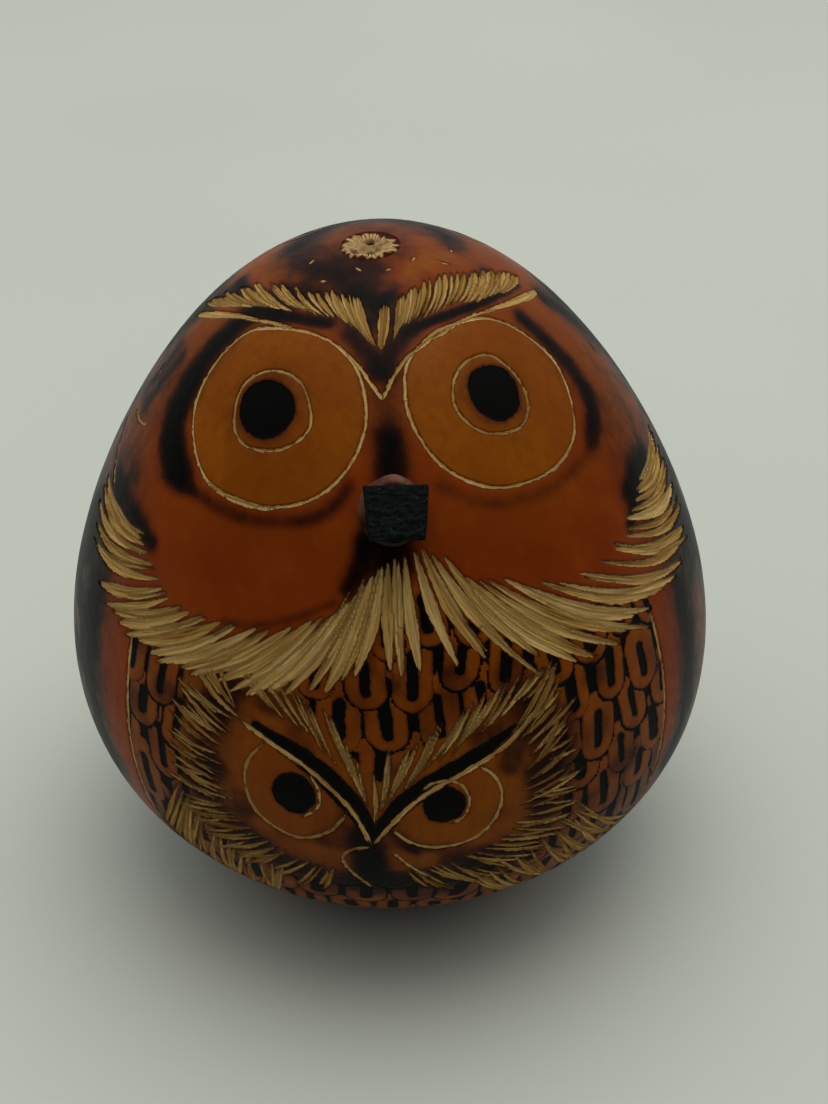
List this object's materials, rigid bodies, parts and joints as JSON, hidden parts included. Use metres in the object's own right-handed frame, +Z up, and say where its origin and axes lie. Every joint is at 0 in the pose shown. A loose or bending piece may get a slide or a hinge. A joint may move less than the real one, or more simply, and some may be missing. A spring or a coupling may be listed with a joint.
{
  "type": "carved gourd owl",
  "caption": "Dried gourd carved and burnt as an owl with an owlet on its belly; glued block beak, stem stub, pith and loose seeds that rattle inside.",
  "frame": {"origin": "centre of the sanded base, on the surface that the gourd stands on", "axes": "+Z up towards the stem; the owl looks along -Y; +X to the right of someone who faces it"},
  "size_m": [0.0867, 0.0866, 0.0899],
  "materials": {
    "rind": "satin, dyed and scorched",
    "stem": "raw, fibrous",
    "black_wood": "stained black, rough end grain",
    "glue": "clear dried glue, glossy",
    "pith": "dry, spongy",
    "seed": "dry, matt"
  },
  "bodies": {
    "gourd": {"gourd_shell": "rind", "stem_stub": "stem", "beak": "black_wood", "beak_glue": "glue", "pith": "pith", "held_seed_01": "seed", "held_seed_02": "seed", "held_seed_03": "seed", "held_seed_04": "seed"},
    "loose_seed_01": {"loose_seed_01": "seed"},
    "loose_seed_02": {"loose_seed_02": "seed"},
    "loose_seed_03": {"loose_seed_03": "seed"},
    "loose_seed_04": {"loose_seed_04": "seed"},
    "loose_seed_05": {"loose_seed_05": "seed"},
    "loose_seed_06": {"loose_seed_06": "seed"},
    "loose_seed_07": {"loose_seed_07": "seed"},
    "loose_seed_08": {"loose_seed_08": "seed"},
    "loose_seed_09": {"loose_seed_09": "seed"},
    "loose_seed_10": {"loose_seed_10": "seed"},
    "loose_seed_11": {"loose_seed_11": "seed"},
    "loose_seed_12": {"loose_seed_12": "seed"},
    "loose_seed_13": {"loose_seed_13": "seed"},
    "loose_seed_14": {"loose_seed_14": "seed"}
  },
  "joints": [
    {"name": "loose_seed_01_rattle", "type": "slide", "parent": "gourd", "child": "loose_seed_01", "axis": [0, 0, 1], "range_m": [0, 0.07]},
    {"name": "loose_seed_02_rattle", "type": "slide", "parent": "gourd", "child": "loose_seed_02", "axis": [0, 0, 1], "range_m": [0, 0.07]},
    {"name": "loose_seed_03_rattle", "type": "slide", "parent": "gourd", "child": "loose_seed_03", "axis": [0, 0, 1], "range_m": [0, 0.07]},
    {"name": "loose_seed_04_rattle", "type": "slide", "parent": "gourd", "child": "loose_seed_04", "axis": [0, 0, 1], "range_m": [0, 0.07]},
    {"name": "loose_seed_05_rattle", "type": "slide", "parent": "gourd", "child": "loose_seed_05", "axis": [0, 0, 1], "range_m": [0, 0.07]},
    {"name": "loose_seed_06_rattle", "type": "slide", "parent": "gourd", "child": "loose_seed_06", "axis": [0, 0, 1], "range_m": [0, 0.05]},
    {"name": "loose_seed_07_rattle", "type": "slide", "parent": "gourd", "child": "loose_seed_07", "axis": [0, 0, 1], "range_m": [0, 0.05]},
    {"name": "loose_seed_08_rattle", "type": "slide", "parent": "gourd", "child": "loose_seed_08", "axis": [0, 0, 1], "range_m": [0, 0.05]},
    {"name": "loose_seed_09_rattle", "type": "slide", "parent": "gourd", "child": "loose_seed_09", "axis": [0, 0, 1], "range_m": [0, 0.05]},
    {"name": "loose_seed_10_rattle", "type": "slide", "parent": "gourd", "child": "loose_seed_10", "axis": [0, 0, 1], "range_m": [0, 0.05]},
    {"name": "loose_seed_11_rattle", "type": "slide", "parent": "gourd", "child": "loose_seed_11", "axis": [0, 0, 1], "range_m": [0, 0.05]},
    {"name": "loose_seed_12_rattle", "type": "slide", "parent": "gourd", "child": "loose_seed_12", "axis": [0, 0, 1], "range_m": [0, 0.05]},
    {"name": "loose_seed_13_rattle", "type": "slide", "parent": "gourd", "child": "loose_seed_13", "axis": [0, 0, 1], "range_m": [0, 0.05]},
    {"name": "loose_seed_14_rattle", "type": "slide", "parent": "gourd", "child": "loose_seed_14", "axis": [0, 0, 1], "range_m": [0, 0.05]}
  ]
}
